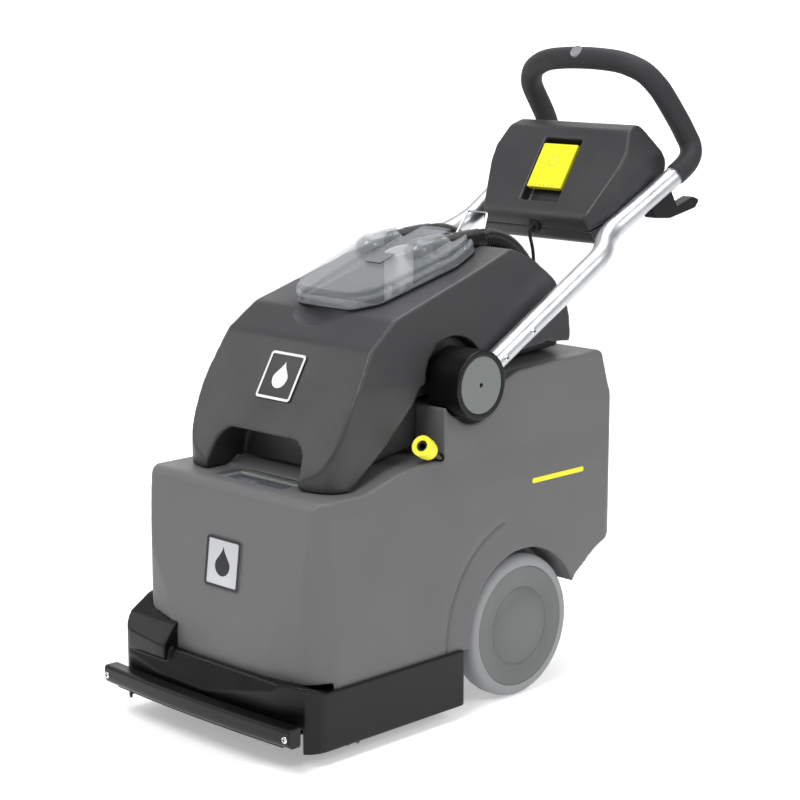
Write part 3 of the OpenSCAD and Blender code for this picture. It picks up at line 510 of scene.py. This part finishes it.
# ---------- hoses and cable ----------
# The routes repeat the ones of the CAD model, in millimetres.
HOSE_ROUTE = [
    (57, 73, 754), (57, 92, 755), (57, 112, 752), (57, 132, 745), (57, 150, 735), (57, 166, 722),
    (57, 180, 708), (57, 192, 692), (57, 202, 674), (57, 210, 655), (57, 216, 636), (57, 220, 617),
    (57, 222, 600), (57, 222, 560),
]
CABLE_ROUTE = [
    (0, 277, 757), (0, 271, 756), (0, 267, 750), (0, 268, 740), (0, 272, 728), (0, 276, 714),
    (0, 278, 700), (0, 279, 686), (0, 279, 672), (0, 278, 658), (0, 275, 644), (0, 269, 630),
    (0, 260, 617), (0, 250, 606), (0, 241, 598), (0, 236, 588), (0, 236, 581),
]
HOSE_D = 0.035
CABLE_D = 0.006
RIB_PITCH = 0.0052
RIB_DEPTH = 0.0021


def hose_radius(walked):
    """Round ribs with narrow valleys."""
    wave = abs(math.sin(math.pi * walked / RIB_PITCH)) ** 0.6
    return HOSE_D / 2 - RIB_DEPTH * (1 - wave)


def make_hose(side, name):
    path = even(spline([(side * x * MM, y * MM, z * MM) for x, y, z in HOSE_ROUTE], 12), RIB_PITCH / 8)
    mesh = tube_mesh(name, path, hose_radius, 32)
    hose = add(name, mesh, None, "hose_black")
    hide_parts("suction_" + name)
    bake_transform(hose)


def make_cable():
    path = even(spline([(x * MM, y * MM, z * MM) for x, y, z in CABLE_ROUTE], 8), 0.003)
    cable = add("cable", tube_mesh("cable", path, CABLE_D / 2, 16), None, "rubber_black")
    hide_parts("console_cable")
    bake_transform(cable)


make_hose(-1, "hose_left")
make_hose(1, "hose_right")
make_cable()


# ---------- housings ----------
SEAM_CENTRE = (0.036, 0.121)          # seam ahead of the wheel, an arc in the side view
SEAM_R = 0.196


def carve_seam(mesh):
    """Presses the seam line into both sides of the housing."""
    for v in mesh.vertices:
        out = abs(v.co.x)
        if out < 0.19 or v.co.y > -0.02 or v.co.z > 0.32:
            continue
        away = abs(math.hypot(v.co.y - SEAM_CENTRE[0], v.co.z - SEAM_CENTRE[1]) - SEAM_R)
        if away < 0.0026:
            v.co.x -= math.copysign(0.0022, v.co.x)


def dent_tank(mesh):
    """Finger hollow in the tank's top, at the front edge of the lid."""
    for v in mesh.vertices:
        if v.co.z > 0.64:
            away = math.hypot(v.co.x / 0.062, (v.co.y + 0.238) / 0.026)
            if away < 1:
                v.co.z -= 0.011 * (1 - away**2)


def make_housings():
    moulding("body_skin", ["body_shell"], "chassis", "body_grey", 2.5, 10, 0.3, carve_seam)
    moulding("skirt_skin", ["base_skirt"], "chassis", "black_plastic", 1.8, 9, 0.4)
    moulding("socket_block", ["hose_sockets"], "chassis", "black_plastic", 1.4, 5, 0.4)
    moulding("shoe_bar", ["vacuum_shoe"], "shoe", "black_plastic", 1.5, 4, 0.4)
    moulding("tank_skin", ["recovery_tank"], "tank", "charcoal", 2.5, 10, 0.3, dent_tank)
    moulding("lid_skin", ["dome_lid"], "lid", "clear", 1.4, 8, 0.35)
    moulding("lid_seal", ["lid_gasket"], "lid", "rubber_black", 1.2, 4, 0.4)
    moulding("cuff_pair", ["hose_cuffs"], "lid", "black_plastic", 1.0, 4, 0.35)
    moulding("console_top", ["console_shell"], "handle", "charcoal", 1.8, 22, 0.4)
    moulding("console_under", ["console_base"], "handle", "charcoal", 1.8, 12, 0.35)
    moulding("hook_moulding", ["cable_hook"], "handle", "black_plastic", 1.0, 6, 0.4)
    moulding("rocker", ["rocker_switch"], "rocker", "yellow", 0.9, 14, 0.3)
    moulding("cover_plate", ["fill_lid"], "fill_cover", "clear", 0.9, 5, 0.4)
    moulding("float_basket", ["float_cage"], "lid", "white_plastic", 0.9, 4, 0.4)
    for side in ("left", "right"):
        moulding("hub_" + side, ["handle_hub_" + side], "handle", "black_plastic", 1.2, 4, 0.35)


make_housings()


# ---------- wheels ----------
def middle(node):
    low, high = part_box(node)
    return (Vector(low) + Vector(high)) / 2


def turned(name, profile, place, body, slot, axis=(1, 0, 0), replaced=()):
    """A turned piece from a profile of (radius, along the axis) in millimetres."""
    profile = [(r * MM, h * MM) for r, h in profile]
    piece = add(name, lathe_mesh(name, profile, place, axis, 144), body, slot)
    if replaced:
        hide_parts(*replaced)
    return piece


def make_wheel(side, sign):
    place = middle("axle")
    place.x = 0
    outward = (sign, 0, 0)
    tyre = rounded([(101, 158), (115, 158), (119.8, 162)], 2) + [
        (121.2, 170), (121.5, 180), (121.2, 189), (119.4, 195), (115.6, 199.6), (110, 201.6), (104, 202),
        (102.1, 201.6), (102.1, 194), (101, 194),
    ]
    turned("tyre_skin_" + side, tyre, place, "wheel_" + side, "tyre_grey", outward, ["tyre_" + side])
    disc = [(0, 194.2), (101.6, 194.2), (101.7, 200.2), (100.6, 200.9), (98, 200.4), (94, 199.6), (67, 199.6),
            (66.4, 198.4), (65.2, 198.4), (64.6, 199.6), (30, 199.8), (27, 200.2), (24, 200.6), (0, 200.8)]
    turned("disc_" + side, disc, place, "wheel_" + side, "wheel_grey", outward, ["wheel_cover_" + side])


make_wheel("left", -1)
make_wheel("right", 1)


# ---------- brush ----------
def make_bristles():
    """Rows of tufts wound round the brush core, a few filaments to a tuft."""
    low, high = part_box("brush_bristles")
    axis_y, axis_z = (low[1] + high[1]) / 2, (low[2] + high[2]) / 2
    tip, root, rows, columns = (high[2] - low[2]) / 2, 0.0275, 18, 38
    points, faces = [], []
    for row in range(rows):
        for column in range(columns):
            x = low[0] + 0.004 + (high[0] - low[0] - 0.008) * (column + 0.5 * (row % 2)) / (columns - 0.5)
            turn = 2 * math.pi * (row / rows + 0.06 * math.sin(column * 0.5))
            for strand in range(5):
                a = turn + random.uniform(-0.05, 0.05)
                lean = random.uniform(-0.0025, 0.0025)
                start = len(points)
                reach = tip - random.uniform(0, 0.0012)
                for r, width, shift in ((root, 0.0011, 0), (reach, 0.0007, lean)):
                    for k in range(3):
                        b = 2 * math.pi * k / 3
                        points.append(
                            (x + shift + width * math.cos(b),
                             axis_y + r * math.sin(a) + width * math.sin(b) * math.cos(a),
                             axis_z - r * math.cos(a) + width * math.sin(b) * math.sin(a))
                        )
                for k in range(3):
                    after = (k + 1) % 3
                    faces.append((start + k, start + after, start + 3 + after, start + 3 + k))
                faces += [(start + 5, start + 4, start + 3), (start, start + 1, start + 2)]
    piece = add("tufts", mesh_of("tufts", points, faces), "brush", "bristle", smooth=False)
    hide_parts("brush_bristles")


make_bristles()


# ---------- handle ----------
GRIP_HALF = [
    (178, 446, 846), (179, 462, 855), (179, 481, 867), (174, 498, 881), (166, 506, 897), (160, 499, 916),
    (156, 482, 942), (151, 446, 986), (145, 432, 1004), (130, 420, 1023), (108, 412, 1035), (80, 406, 1043),
    (40, 402, 1047), (0, 401, 1048),
]
GRIP_R = 0.0196
CAP_TILT = 38                          # how far the caps look up from level
CAPS = [(156, 482, 942, 8), (0, 401, 1048, 0), (-156, 482, 942, -8)]


def make_grip():
    half = [(x * MM, y * MM, z * MM) for x, y, z in GRIP_HALF]
    route = half + [(-x, y, z) for x, y, z in reversed(half[:-1])]
    path = even(spline(route, 8), 0.004)
    total = length_of(path)

    def radius(walked):
        end = min(walked, total - walked)
        return GRIP_R * (1 - 0.1 * math.exp(-((end / 0.003) ** 2)))

    grip = add("grip_skin", tube_mesh("grip_skin", path, radius, 36), "handle", "grip_rubber")
    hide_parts("grip_loop")
    dish = rounded([(0, 13), (11.6, 13), (11.6, 20.6), (9.4, 20.6), (8.8, 19.9), (0, 20.3)], 0.5, 3)
    work = bmesh.new()
    for x, y, z, turn in CAPS:
        facing = Matrix.Rotation(math.radians(turn), 3, "Z") @ Vector(
            (0, -math.cos(math.radians(CAP_TILT)), math.sin(math.radians(CAP_TILT)))
        )
        profile = [(r * MM, h * MM) for r, h in dish]
        work.from_mesh(lathe_mesh("cap", profile, (x * MM, y * MM, z * MM), facing, 48))
    mesh = bpy.data.meshes.new("cap_discs")
    work.to_mesh(mesh)
    work.free()
    caps = add("cap_discs", mesh, "handle", "cap_grey")
    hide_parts("grip_caps")


make_grip()


def cross_screw(radius, height):
    """Pan head with a cross recess, standing on z = 0; returns its head and a thin cross plate laid on top in
    place of the recess, as painted shade.
    """
    profile = [(0, 0), (radius, 0), (radius, height * 0.45), (radius * 0.86, height * 0.8),
               (radius * 0.55, height), (0, height)]
    head = lathe_mesh("head", profile, (0, 0, 0), (0, 0, 1), 32)
    w, l = radius * 0.13, radius * 0.62
    cross = [
        (w, w), (w, l), (-w, l), (-w, w), (-l, w), (-l, -w),
        (-w, -w), (-w, -l), (w, -l), (w, -w), (l, -w), (l, w),
    ]
    return head, plate_mesh("cross", cross, 0.00025)


def make_screws(name, node, body, radius, height, seats):
    """Screws on a list of (place, outward direction), in place of a CAD node."""
    heads, shade_crosses = bmesh.new(), bmesh.new()
    for place, outward in seats:
        upright = Vector((0, 0, 1)).rotation_difference(Vector(outward)).to_matrix().to_4x4()
        turn = Matrix.Translation(place) @ upright
        head, cross = cross_screw(radius, height)
        head.transform(turn)
        cross.transform(turn @ Matrix.Translation((0, 0, height * 0.98)))
        heads.from_mesh(head)
        shade_crosses.from_mesh(cross)
    # the cross plates are not cut into the head; they get black rubber as painted shade for the recesses
    for label, work, slot in (("heads", heads, "chrome"), ("painted_recess_shade", shade_crosses, "rubber_black")):
        mesh = bpy.data.meshes.new(name + "_" + label)
        work.to_mesh(mesh)
        work.free()
        piece = add(name + "_" + label, mesh, body, slot)
    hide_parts(node)


HUB = Vector((0, -0.105, 0.552))
HANDLE_SLOPE = math.radians(29)
TUBE_R = 0.0175


def on_tube(x, s, n):
    """A place by the tube line: across, along the slope, square to it, in millimetres."""
    n -= 10
    return Vector(
        (x * MM,
         HUB.y + (s * math.cos(HANDLE_SLOPE) - n * math.sin(HANDLE_SLOPE)) * MM,
         HUB.z + (s * math.sin(HANDLE_SLOPE) + n * math.cos(HANDLE_SLOPE)) * MM)
    )


def make_tubes():
    """The two bent tubes, along the same centre line as in the CAD model."""
    bend, splay = math.radians(30), math.radians(4.5)
    radius, reach, joggle = 89.64, 355.0, 100.0
    low_x, top_x = 195.0, 165.0           # half the tubes' spacing at the hubs and by the console
    line = [(low_x, 32.2)] + [(low_x, 60.0 + 20 * k) for k in range(15)]
    for k in range(13):
        a = bend * k / 12
        line.append((low_x - radius + radius * math.cos(a), reach + radius * math.sin(a)))
    for k in range(15):
        a = math.pi + bend - (bend + splay) * k / 14
        line.append((top_x + radius + radius * math.cos(a), reach + joggle + radius * math.sin(a)))
    x, s = line[-1]
    line += [(x + d * math.sin(splay), s + d * math.cos(splay)) for d in (20, 50, 80, 110, 140, 162)]
    for side, name in ((-1, "left"), (1, "right")):
        path = even([on_tube(side * x, s, 0) for x, s in line], 0.006)
        mesh = tube_mesh("tube_" + name, path, TUBE_R, 48)
        tube = add("tube_" + name, mesh, "handle", "tube_alloy")
        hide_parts("handle_tube_" + name)


make_tubes()
make_screws("tube_screw", "tube_screws", "handle", 0.0052, 0.0022,
            [(on_tube(side * 212.4, s, 0), (side, 0, 0)) for side in (-1, 1) for s in (84, 158)])
SHOE_ARC = 3.6                         # radius of the shoe's front face in plan
SCREW_TURN = math.asin(0.216 / SHOE_ARC)
SHOE_CENTRE_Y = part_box("vacuum_shoe")[0][1] + SHOE_ARC
make_screws("shoe_screw", "shoe_screws", "shoe", 0.0055, 0.0022,
            [(Vector((side * SHOE_ARC * math.sin(SCREW_TURN),
                      SHOE_CENTRE_Y - SHOE_ARC * math.cos(SCREW_TURN), 0.066)),
              (side * math.sin(SCREW_TURN), -math.cos(SCREW_TURN), 0)) for side in (-1, 1)])


# ---------- badges and trim ----------
def drop_outline(size, steps=28):
    """A plain drop: round below, pointed above."""
    outline = []
    for k in range(steps):
        a = 2 * math.pi * k / steps - math.pi / 2
        lift = max(0, math.sin(a))
        outline.append((size * math.cos(a) * (1 - lift**3 * 0.98), size * (math.sin(a) + 0.75 * lift**4)))
    return outline


BADGE = 0.080                          # side and thickness of both badges
BADGE_T = 0.0018


def make_badge(name, place, tilt, body, node, plate, frame_slot, mark):
    """80 mm plate with a raised border and a drop; tilt is the plate's lean from level."""
    turn = Matrix.Translation(Vector(place) * MM) @ Matrix.Rotation(math.radians(tilt), 4, "X")
    base = plate_mesh(name, rounded_square(BADGE, BADGE, 0.006), BADGE_T, 0.0004)
    ring = bmesh.new()
    outer = [ring.verts.new((x, y, 0)) for x, y in rounded_square(BADGE, BADGE, 0.006)]
    inner = [ring.verts.new((x, y, 0)) for x, y in rounded_square(0.0715, 0.0715, 0.003)]
    count = len(outer)
    strip = [
        ring.faces.new((outer[k], outer[(k + 1) % count], inner[(k + 1) % count], inner[k]))
        for k in range(count)
    ]
    grown = bmesh.ops.extrude_face_region(ring, geom=strip)
    raised = [v for v in grown["geom"] if isinstance(v, bmesh.types.BMVert)]
    bmesh.ops.translate(ring, verts=raised, vec=(0, 0, 0.0007))
    bmesh.ops.recalc_face_normals(ring, faces=ring.faces)
    border = bpy.data.meshes.new(name + "_border")
    ring.to_mesh(border)
    ring.free()
    border.transform(Matrix.Translation((0, 0, BADGE_T)))
    drop = plate_mesh(name + "_mark", drop_outline(0.017), 0.0006, 0.0002)
    drop.transform(Matrix.Translation((0, -0.004, BADGE_T)))
    for mesh, slot in ((base, plate), (border, frame_slot), (drop, mark)):
        mesh.transform(turn)
        piece = add(mesh.name, mesh, body, slot, smooth=False)
        if mesh is base:
            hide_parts(node)


make_badge("nose_plate", (0, -450.6, 284), 83.1, "chassis", "body_badge",
           "badge_silver", "badge_black", "badge_black")
make_badge("tank_plate", (0, -323.4, 565), 59.8, "tank", "tank_badge",
           "badge_black", "badge_silver", "badge_silver")


def make_lid_label():
    """Small square plate on the clear lid."""
    slope = math.radians(17)
    plate = plate_mesh("lid_label", rounded_square(0.038, 0.038, 0.003), 0.0008, 0.0002)
    height = 0.0315
    along = 0.112
    plate.transform(
        Matrix.Translation((0, -0.202 + along * math.cos(slope) - height * math.sin(slope),
                            0.672 + along * math.sin(slope) + height * math.cos(slope)))
        @ Matrix.Rotation(slope, 4, "X")
    )
    add("lid_label", plate, "lid", "motor_grey", smooth=False)


def make_rocker_marks():
    """Row of small dots and a ring on the yellow rocker."""
    tilt = math.radians(57.03)
    work = bmesh.new()
    spots = [(x, -32, 1.1) for x in (-20, -10, 0, 10, 20)] + [
        (11 * math.cos(a), 18 + 11 * math.sin(a), 0.8) for a in [math.radians(d) for d in range(0, 360, 20)]
    ]
    for x, y, radius in spots:
        profile = [(0, 0), (radius * MM, 0), (radius * MM, 0.0006), (0, 0.0006)]
        work.from_mesh(lathe_mesh("dot", profile, (x * MM, y * MM, 0.0028), (0, 0, 1), 12))
    mesh = bpy.data.meshes.new("rocker_marks")
    work.to_mesh(mesh)
    work.free()
    mesh.transform(Matrix.Translation((0, 0.323, 0.853)) @ Matrix.Rotation(tilt, 4, "X"))
    add("rocker_marks", mesh, "rocker", "cap_grey")


make_lid_label()
make_rocker_marks()


def make_stripes():
    """Yellow stripe low on each side of the housing."""
    for side, name in ((-1, "left"), (1, "right")):
        mesh = plate_mesh("stripe_" + name, rounded_square(0.131, 0.0085, 0.003), 0.0012, 0.0003)
        lean = math.radians(90 - 1.15)
        mesh.transform(
            Matrix.Translation((side * 0.2042, 0.1135, 0.367))
            @ Matrix.Rotation(side * lean, 4, "Y")
            @ Matrix.Rotation(math.radians(90), 4, "Z")
        )
        add("stripe_" + name, mesh, "chassis", "yellow", smooth=False)


make_stripes()
